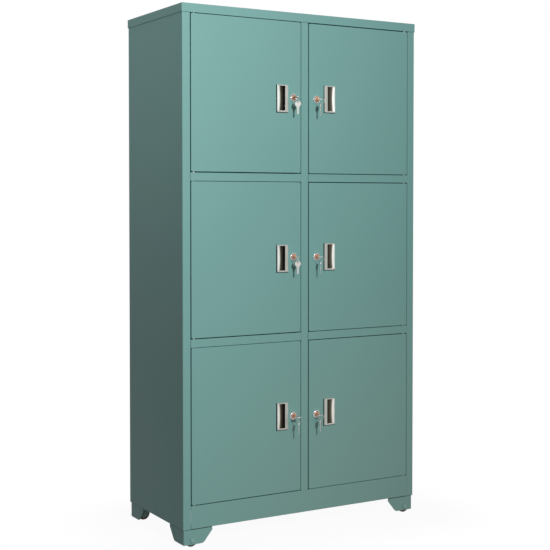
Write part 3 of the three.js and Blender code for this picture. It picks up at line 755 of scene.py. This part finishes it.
def half_size(node, axis):
    """Half of a node's size along an axis, in millimetres."""
    low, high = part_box(node)
    return (high[axis] - low[axis]) / 2 / millimetre


print("joints to use as axes:", len(joints))

# %% [markdown]
# ## The roll into the slot
# The soft roll is a sheet of its own: a grid laid in the opening, then pushed back by a power of
# the distance from the rim, which starts flat and gets steep. The line where it starts to drop
# bows towards the slot at half height, as it does on the pressed plate.

# %% Rolls
roll_rim = 0.0024
opening_width = 0.0326
opening_height = 0.0935
opening_rise = 0.001
roll_under_lip = 0.004
roll_bow = 0.0042
roll_power = 1.5
roll_gap = 0.00015
roll_sheet = 0.0006
roll_columns = 40
roll_rows = 24


def make_roll(node):
    low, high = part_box(node)
    hand = -1.0 if node.endswith("left") else 1.0
    rim = (high.x if hand > 0 else low.x) - hand * roll_rim
    middle = (low.z + high.z) / 2 + opening_rise
    half = opening_height / 2 - roll_gap
    reach = opening_width + roll_under_lip
    bm = bmesh.new()
    bmesh.ops.create_grid(bm, x_segments=roll_columns, y_segments=roll_rows, size=0.5)
    for vert in bm.verts:
        distance = (vert.co.x + 0.5) * reach
        height = vert.co.y * 2
        bow = roll_bow * (1.0 - height * height)
        share = max(0.0, distance - bow) / (opening_width - bow)
        depth = roll_gap + min(1.0, share**roll_power) * roll_depth
        x = rim - hand * (distance + roll_gap)
        vert.co = Vector((x, low.y + depth, middle + height * half))
    bmesh.ops.recalc_face_normals(bm, faces=bm.faces)
    if bm.faces[:][0].normal.y > 0:
        bmesh.ops.reverse_faces(bm, faces=bm.faces)
    bmesh.ops.solidify(bm, geom=bm.faces[:], thickness=roll_sheet)
    finished(f"{node}_roll", bm, painted_sheen_nickel, body_of_node(node), "satin_nickel")


for node in pull_nodes:
    make_roll(node)
print("rolls:", len(pull_nodes))

# %% [markdown]
# ## Lock cases
# The collar is a chrome ring with a rounded shoulder and a raised inner lip. Behind the door its
# threaded barrel carries a hexagon nut, which shows when the door stands open.

# %% Lock cases
collar_radius = half_size("lock_case_upper_left", 0)
collar_proud = 6.0
collar_seat = 0.3
mouth_depth = 1.6
lip_round = 0.7
lip_out = 1.3
shoulder_round = 3.4
shoulder_drop = 4.6
plug_bore = 10.1
barrel_radius = 11.5
barrel_end = -19.0
nut_radius = 15.0
nut_front = -1.3
nut_thickness = 4.0
nut_edge_round = 0.0005
thread_pitch = 1.5
thread_depth = 0.5


def thread_profile(radius, start, end):
    """Ridges down the outside of a barrel, as rings: close enough to a thread to read as one."""
    count = int((start - end) / thread_pitch)
    points = []
    for ridge in range(count):
        top = start - ridge * thread_pitch
        points.append((radius, top))
        points.append((radius - thread_depth, top - thread_pitch / 2))
    return points


def lock_axis(name):
    return Vector(joints[f"lock_{name}_turn"]["pos_m"])


def make_lock_case(name):
    centre = Vector((lock_axis(name).x, door_face, lock_axis(name).z))
    shoulder = (collar_radius - shoulder_round, collar_proud - shoulder_drop)
    section = [
        (plug_bore, barrel_end),
        (plug_bore, collar_proud - mouth_depth),
        (plug_bore + 0.5, collar_proud - 1.2),
        *arc((plug_bore + lip_out, collar_proud - lip_round), lip_round, 180.0, 60.0, 4),
        *arc(shoulder, shoulder_round, 75.0, 0.0, 6),
        (collar_radius, collar_seat),
        (barrel_radius, collar_seat),
        (barrel_radius, nut_front - nut_thickness),
        *thread_profile(barrel_radius, nut_front - nut_thickness, barrel_end),
        (barrel_radius - thread_depth, barrel_end),
        (plug_bore, barrel_end),
    ]
    bm = bmesh.new()
    turned(bm, section, centre)
    nut = bmesh.ops.create_cone(
        bm,
        cap_ends=True,
        segments=6,
        radius1=nut_radius * millimetre,
        radius2=nut_radius * millimetre,
        depth=nut_thickness * millimetre,
        matrix=Matrix.Translation(centre - forward * (-nut_front + nut_thickness / 2) * millimetre)
        @ Matrix.Rotation(math.pi / 2, 4, "X"),
    )
    nut_edges = list({edge for vert in nut["verts"] for edge in vert.link_edges})
    round_edges(bm, nut_edges, nut_edge_round)
    finished(
        f"lock_case_{name}_turned", bm, chrome, f"door_{name}", "chrome", f"lock_case_{name}"
    )


lock_names = [f"{tier}_{side}" for tier in ("upper", "middle", "lower") for side in ("left", "right")]
for name in lock_names:
    make_lock_case(name)
print("lock cases:", len(lock_names))

# %% [markdown]
# ## Plates cut to an outline
# Keys and cams are stamped from flat metal. A flat curve does the same: its outline is filled,
# given a thickness and a small rounded edge, and made a mesh, which is then stood up where it
# belongs. A hole is a second outline inside the first.

# %% A stamped plate


def stamped(bm, outlines, thickness, edge_round, place):
    """Adds a plate to a bmesh. Outlines are in millimetres, and place stands the plate up."""
    data = bpy.data.curves.new("outline", "CURVE")
    data.dimensions = "2D"
    data.fill_mode = "BOTH"
    data.extrude = thickness / 2 - edge_round
    data.bevel_depth = edge_round
    data.offset = -edge_round
    data.bevel_resolution = 1
    for outline in outlines:
        spline = data.splines.new("POLY")
        spline.points.add(len(outline) - 1)
        spline.use_cyclic_u = True
        for point, (x, y) in zip(spline.points, outline):
            point.co = (x, y, 0.0, 1.0)
    holder = bpy.data.objects.new("outline", data)
    mesh = bpy.data.meshes.new_from_object(holder)
    mesh.transform(place @ Matrix.Scale(millimetre, 4))
    bm.from_mesh(mesh)
    bpy.data.meshes.remove(mesh)
    bpy.data.objects.remove(holder)
    bpy.data.curves.remove(data)


def standing(origin, along, across):
    """A place whose x runs along one direction and whose y runs across it."""
    turn = Matrix((along, across, along.cross(across))).transposed()
    return Matrix.Translation(origin) @ turn.to_4x4()


print("a plate needs its outline, thickness and place")

# %% [markdown]
# ## A painted shadow beside each pull
# Behind each pull lies a thin dark strip, a painted shadow of the plate. It reaches out a little at the left and
# below, where it draws a fine dark line along the plate.

# %% Painted shadow strips
strip_thickness = 0.24
strip_edge = 0.05
strip_centre = 0.15
strip_out = {"left": 3.0, "right": 0.2, "below": 2.2, "above": 0.2}
strip_inside = 1.0
# Painted shadow: this near-black green stands for the shade along the plate's left and lower edges.
shadow_strip_dark = make_metal("shadow_strip_dark", (0.022, 0.040, 0.038), (0.012, 0.022, 0.021), 0.6, (1, 1, 1))


def rectangle(left, right, bottom, top):
    return [(left, bottom), (right, bottom), (right, top), (left, top)]


def make_shadow_strip(node):
    low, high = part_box(node)
    middle = Vector(((low.x + high.x) / 2, door_face - strip_centre * millimetre, (low.z + high.z) / 2))
    half_wide, half_high = half_size(node, 0), half_size(node, 2)
    outer = rectangle(
        -half_wide - strip_out["left"],
        half_wide + strip_out["right"],
        -half_high - strip_out["below"],
        half_high + strip_out["above"],
    )
    inner = rectangle(
        strip_inside - half_wide, half_wide - strip_inside, strip_inside - half_high, half_high - strip_inside
    )
    bm = bmesh.new()
    stamped(bm, [outer, inner], strip_thickness, strip_edge, standing(middle, rightward, upward))
    finished(f"{node}_shadow_strip", bm, shadow_strip_dark, body_of_node(node), "zinc_steel")


for node in pull_nodes:
    make_shadow_strip(node)
print("shadow strips:", len(pull_nodes))

# %% [markdown]
# ## Lock plugs, cams and the keys in them
# The plug is brass with a copper tone, and turns inside the case. A key stands in every plug with
# its bow lying flat, so that only its edge shows from the front. Behind the door the plug carries
# the cam that grips behind the centre post, held by a screw.

# %% Key outline
bow_radius = 11.5
key_hole_radius = 2.8
key_hole_from_end = 5.0
key_thickness = 2.0
neck_half = 4.0
shoulder_half = 5.2
shoulder_length = 2.0
blade_half = 3.6
blade_length = 27.0
cut_pitch = 4.5
cut_depths = (1.6, 0.7, 2.0, 1.1)
cut_half_mouth = 1.3
cut_half_floor = 0.4
tip_half = 0.6
key_edge = 0.3
bow_steps = 36
hole_beyond_bow = bow_radius - key_hole_from_end


def key_outlines(cuts):
    """The key points along -x from the centre of its bow, and its ring hole is at the other end."""
    start = math.degrees(math.asin(neck_half / bow_radius))
    bow = arc((0.0, 0.0), bow_radius, 180.0 - start, start - 180.0, bow_steps)
    stop = -bow_radius * math.cos(math.radians(start)) - shoulder_length
    blade_start = stop - shoulder_length
    tip = stop - blade_length
    lower = [(stop, -neck_half), (stop, -shoulder_half), (blade_start, -shoulder_half)]
    lower.append((blade_start, -blade_half))
    for number, depth in enumerate(cuts):
        valley = blade_start - cut_pitch * (number + 1)
        lower.append((valley + cut_half_mouth, -blade_half))
        lower.append((valley + cut_half_floor, depth - blade_half))
        lower.append((valley - cut_half_floor, depth - blade_half))
        lower.append((valley - cut_half_mouth, -blade_half))
    lower += [(tip + blade_half, -blade_half), (tip, -tip_half), (tip, tip_half)]
    upper = [(tip + blade_half, blade_half), (blade_start, blade_half)]
    upper += [(blade_start, shoulder_half), (stop, shoulder_half), (stop, neck_half)]
    hole = arc((hole_beyond_bow, 0.0), key_hole_radius, 0.0, 345.0, 23)
    return [bow + lower + upper, hole]


print("key length:", round(bow_radius * 2 + shoulder_length + blade_length, 1), "mm")

# %% Plug, cam and key
plug_radius = 9.8
plug_proud = 9.0
plug_round = 0.9
face_sunk = 0.25
face_sunk_radius = 5.2
face_rim_radius = 5.6
keyway_half = (4.6, 2.0)
keyway_sheet = 0.4
keyway_edge = 0.1
cam_thickness = 2.0
cam_reach = 46.0
cam_radius = 7.0
cam_edge = 0.3
cam_screw_radius = 5.0
cam_screw_length = 4.0
cam_screw_round = 1.2
key_rolled = {"upper_left": math.radians(20.0), "upper_right": math.radians(-20.0)}
# Painted shade: the keyway is a dark sheet on the plug's face, for the shade inside the opening.
keyway_painted_shade = make_metal("keyway_painted_shade", (0.060, 0.066, 0.072), (0.018, 0.020, 0.022), 0.5, (1, 1, 1))


def make_plug(name):
    axis = lock_axis(name)
    centre = Vector((axis.x, door_face, axis.z))
    plug_node = f"lock_plug_{name}"
    node_back = (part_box(plug_node)[1].y - door_face) / millimetre
    cam_back = node_back - cam_screw_length
    cam_front = cam_back - cam_thickness
    section = [
        (0.0, plug_proud - face_sunk),
        (face_sunk_radius, plug_proud - face_sunk),
        (face_rim_radius, plug_proud),
        *arc((plug_radius - plug_round, plug_proud - plug_round), plug_round, 90.0, 0.0, 5),
        (plug_radius, -cam_front),
        (0.0, -cam_front),
    ]
    bm = bmesh.new()
    turned(bm, section, centre)
    finished(f"{plug_node}_turned", bm, lock_brass, plug_node, "lock_brass", plug_node)
    make_keyway(name, centre, plug_node)
    make_cam(name, centre, plug_node, cam_front)


def make_keyway(name, centre, body):
    """The mouth of the keyway as a dark sheet round the key, a hair in front of the plug's face: painted shade
    where the keyway opens into the plug.
    """
    half_long, half_high = keyway_half
    outline = arc((half_long - half_high, 0.0), half_high, -90.0, 90.0, 10)
    outline += arc((half_high - half_long, 0.0), half_high, 90.0, 270.0, 10)
    middle = centre + forward * plug_proud * millimetre
    across = Matrix.Rotation(key_rolled.get(name, 0.0), 3, "Y") @ rightward
    bm = bmesh.new()
    stamped(bm, [outline], keyway_sheet, keyway_edge, standing(middle, across, across.cross(forward)))
    finished(f"keyway_{name}", bm, keyway_painted_shade, body, "zinc_steel")


def make_cam(name, centre, body, cam_front):
    bar = arc((0.0, 0.0), plug_radius, 180.0, 360.0, 18)
    bar += arc((0.0, cam_reach - cam_radius), cam_radius, 0.0, 180.0, 18)
    bm = bmesh.new()
    middle = centre - forward * (cam_front + cam_thickness / 2) * millimetre
    stamped(bm, [bar], cam_thickness, cam_edge, standing(middle, rightward, upward))
    head = -cam_front - cam_thickness
    end = head - cam_screw_length
    corner = (cam_screw_radius - cam_screw_round, end + cam_screw_round)
    screw = [
        (0.0, end),
        *arc(corner, cam_screw_round, -90.0, 0.0, 4),
        (cam_screw_radius, head),
        (0.0, head),
    ]
    turned(bm, screw, centre)
    finished(f"cam_{name}", bm, zinc_steel, body, "zinc_steel")


def make_key_in_lock(name):
    hole = Vector(joints[f"spare_key_{name}_swing"]["pos_m"])
    bow_centre = hole - forward * hole_beyond_bow * millimetre
    bm = bmesh.new()
    across = Matrix.Rotation(key_rolled.get(name, 0.0), 3, "Y") @ rightward
    place = standing(bow_centre, forward, across)
    stamped(bm, key_outlines(()), key_thickness, key_edge, place)
    finished(f"key_in_lock_{name}", bm, key_steel, f"lock_plug_{name}", "key_steel")


for name in lock_names:
    make_plug(name)
    make_key_in_lock(name)
print("plugs with cam and key:", len(lock_names))

# %% [markdown]
# ## Split rings and spare keys
# The spare hangs on a split ring in the hole of the key in the lock. The ring is two turns of wire,
# made by spinning a small circle twice round with a climb. It goes down through the hole of the key
# in the lock, out past its end, and through the hole of the spare. On two doors the ring has turned
# so that the spare shows its flat side, and on the others its narrow edge.

# %% Split rings and spare keys
ring_radius = 9.6
ring_reach = 3.6
ring_hang = 8.0
wire_radius = 0.5
ring_turns = 2
ring_steps = 36
ring_bend_angle = math.radians(80.0)
turn_of_ring = {
    "upper_left": 55.0,
    "upper_right": -42.0,
    "middle_left": 55.0,
    "middle_right": -28.0,
    "lower_left": -28.0,
    "lower_right": -40.0,
}


def split_ring(bm, centre, radial, axis):
    wire = bmesh.ops.create_circle(bm, segments=8, radius=wire_radius * millimetre)["verts"]
    pitch = 2 * wire_radius * millimetre
    first = centre - axis * pitch * ring_turns / 2 + radial * ring_radius * millimetre
    bmesh.ops.transform(bm, verts=wire, matrix=standing(first, radial, axis))
    edges = list({edge for vert in wire for edge in vert.link_edges})
    steps = ring_turns * ring_steps
    swept = bmesh.ops.spin(
        bm,
        geom=wire + edges,
        cent=centre,
        axis=axis,
        dvec=axis * pitch / ring_steps,
        angle=2 * math.pi * ring_turns,
        steps=steps,
    )
    ends = [edges, [item for item in swept["geom_last"] if isinstance(item, bmesh.types.BMEdge)]]
    for loop in ends:
        bmesh.ops.contextual_create(bm, geom=loop)


def make_spare_key(name):
    body = f"spare_key_{name}"
    hole = Vector(joints[f"{body}_swing"]["pos_m"])
    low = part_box(body)[0]
    turn = Matrix.Rotation(math.radians(turn_of_ring[name]), 3, "Z")
    sideways = turn @ rightward
    facing = turn @ forward
    key_length = shoulder_length + blade_length + bow_radius * math.cos(math.asin(neck_half / bow_radius))
    bow_centre = Vector((hole.x, hole.y, low.z + key_length * millimetre))
    outward = -sideways if turn_of_ring[name] > 0 else sideways
    ring_centre = hole + (outward * ring_reach - upward * ring_hang) * millimetre
    bm = bmesh.new()
    stamped(bm, key_outlines(cut_depths), key_thickness, key_edge, standing(bow_centre, upward, facing))
    finished(f"{body}_cut", bm, key_steel, body, "key_steel", body)
    bm = bmesh.new()
    split_ring(bm, ring_centre, sideways, facing)
    finished(f"split_ring_{name}", bm, zinc_steel, body, "zinc_steel", angle=ring_bend_angle)


for name in lock_names:
    make_spare_key(name)
print("spare keys:", len(lock_names))

# %% [markdown]
# ## Wheels and axle heads
# Each wheel is turned plastic with a crowned tread, a dished face and a hub. Its joint gives the
# axle. One wheel took more overspray than the others when the casing was painted. The axle's domed
# head shows on the face of each foot, and its glossier coat gives it a bright crescent.

# %% Wheels
wheel_radius = 25.0
wheel_half = half_size("wheel_front_left", 1)
hub_radius = 9.0
wheel_bore = 4.4
wheel_dish = 3.4
hub_round = 0.6
tread_round = 2.8
tread_drop = 4.3
wheel_bend_angle = math.radians(32.0)


def wheel_side(sign):
    """One face of the wheel, from the bore out to the tread."""
    face = [
        (wheel_bore, wheel_half),
        (hub_radius - hub_round, wheel_half),
        (hub_radius, wheel_half - hub_round),
        (hub_radius + 0.4, wheel_half - wheel_dish),
        (wheel_radius - 6.4, wheel_half - wheel_dish),
        (wheel_radius - 5.8, wheel_half - 2.0),
        (wheel_radius - 4.6, wheel_half - 1.5),
        *arc((wheel_radius - tread_round, wheel_half - tread_drop), tread_round, 80.0, 0.0, 6),
    ]
    return [(radius, sign * along) for radius, along in face]


def make_wheel(node):
    centre = Vector(joints[f"{node}_roll"]["pos_m"])
    profile = wheel_side(-1) + wheel_side(1)[::-1]
    bm = bmesh.new()
    turned(bm, profile + profile[:1], centre, steps=56)
    plastic = sprayed_plastic if node == "wheel_front_left" else wheel_plastic
    finished(f"{node}_turned", bm, plastic, node, "wheel", node, angle=wheel_bend_angle)


wheel_nodes = [node for node in nodes if node.startswith("wheel_")]
for node in wheel_nodes:
    make_wheel(node)
print("wheels:", len(wheel_nodes))

# %% Axle heads
head_radius = 8.8
head_height = 4.4
head_seat = -4.0
head_round = 2.6
head_paint = make_paint(
    "paint_sage_axle", (0.20, 0.40, 0.375), (0.188, 0.378, 0.353), 0.16, None, 0.6
)


def make_axle_head(wheel):
    """A domed head over the end of the axle, on the front or back of the foot that carries it."""
    foot = wheel.replace("wheel", "foot")
    axle = Vector(joints[f"{wheel}_roll"]["pos_m"])
    outwards = forward if "front" in wheel else -forward
    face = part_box(foot)[0].y if "front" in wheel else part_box(foot)[1].y
    centre = Vector((axle.x, face, axle.z))
    top = head_seat + head_height
    shoulder = arc((head_radius - head_round, top - head_round), head_round, 0.0, 90.0, 6)
    section = [(0.0, head_seat), (head_radius, head_seat), *shoulder, (0.0, top)]
    bm = bmesh.new()
    turned(bm, section, centre, outwards)
    finished(f"axle_head_{wheel}", bm, head_paint, body_of_node(foot), "paint")


for node in wheel_nodes:
    make_axle_head(node)
print("axle heads:", len(wheel_nodes))
